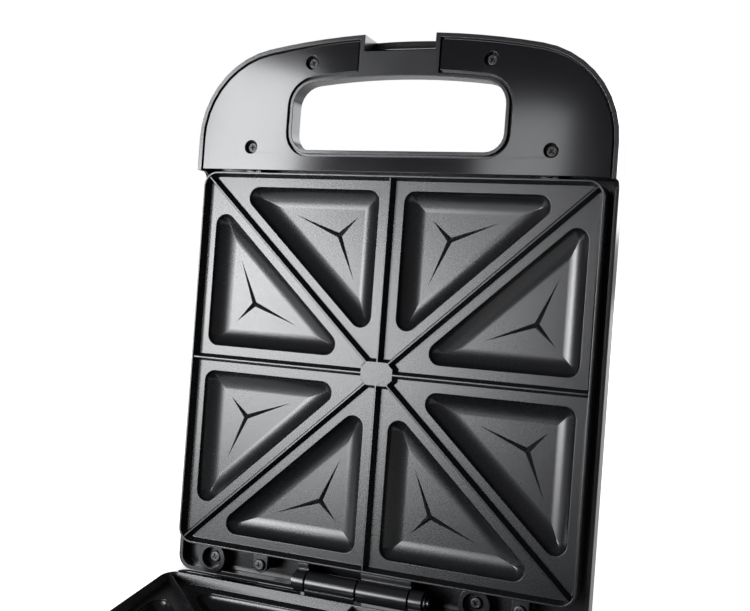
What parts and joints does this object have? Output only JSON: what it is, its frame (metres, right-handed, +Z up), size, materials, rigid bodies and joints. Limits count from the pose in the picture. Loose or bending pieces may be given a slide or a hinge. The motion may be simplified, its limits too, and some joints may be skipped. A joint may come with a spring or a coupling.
{
  "type": "sandwich toaster",
  "caption": "Countertop sandwich toaster, open: hinged lid and base with ribbed non-stick plates in triangular pockets, looped grip handles at the front and a swinging clip latch.",
  "frame": {"origin": "centre of the open toaster's bounding box, on the surface its feet stand on", "axes": "+Z up, +X to the right and -Y to the front, where the handles are; the hinge runs along X"},
  "size_m": [0.2612, 0.4311, 0.3822],
  "materials": {
    "housing_black": "gloss black moulding",
    "panel_black": "polished black inlay",
    "screw_black": "blackened steel",
    "nonstick": "satin dark grey non-stick coating on cast aluminium",
    "zinc": "zinc-plated",
    "element_steel": "heat-darkened tube",
    "shield_aluminium": "bright rolled sheet",
    "ceramic": "unglazed ceramic",
    "cream_plastic": "moulded",
    "black_rubber": "matt",
    "pin_steel": "ground",
    "red_lens": "translucent lens",
    "green_lens": "translucent lens"
  },
  "bodies": {
    "base": {"base_frame": "housing_black", "base_pan": "housing_black", "base_handle_panel": "panel_black", "base_panel_screws": "screw_black", "base_plate": "nonstick", "base_plate_screws": "zinc", "base_element": "element_steel", "base_heat_shield": "shield_aluminium", "base_pan_screws": "zinc", "thermostat": "ceramic", "thermal_fuse": "ceramic", "terminal_block": "cream_plastic", "cord_grommet": "black_rubber", "rubber_feet": "black_rubber", "hinge_pin": "pin_steel", "pin_clip": "pin_steel", "latch_pin": "pin_steel"},
    "lid": {"lid_frame": "housing_black", "lid_cover": "housing_black", "lid_handle_panel": "panel_black", "lid_panel_screws": "screw_black", "lid_plate": "nonstick", "lid_plate_screws": "zinc", "lid_element": "element_steel", "lid_heat_shield": "shield_aluminium", "lid_cover_screws": "zinc", "lamp_carrier": "cream_plastic", "power_lamp": "red_lens", "ready_lamp": "green_lens"},
    "latch": {"latch": "housing_black"}
  },
  "joints": [
    {"name": "lid_hinge", "type": "hinge", "parent": "base", "child": "lid", "pos_m": [0, 0.128, 0.061], "axis": [1, 0, 0], "range_deg": [0, 101]},
    {"name": "latch_pivot", "type": "hinge", "parent": "base", "child": "latch", "pos_m": [0, -0.194, 0.044], "axis": [-1, 0, 0], "range_deg": [0, 35]}
  ]
}
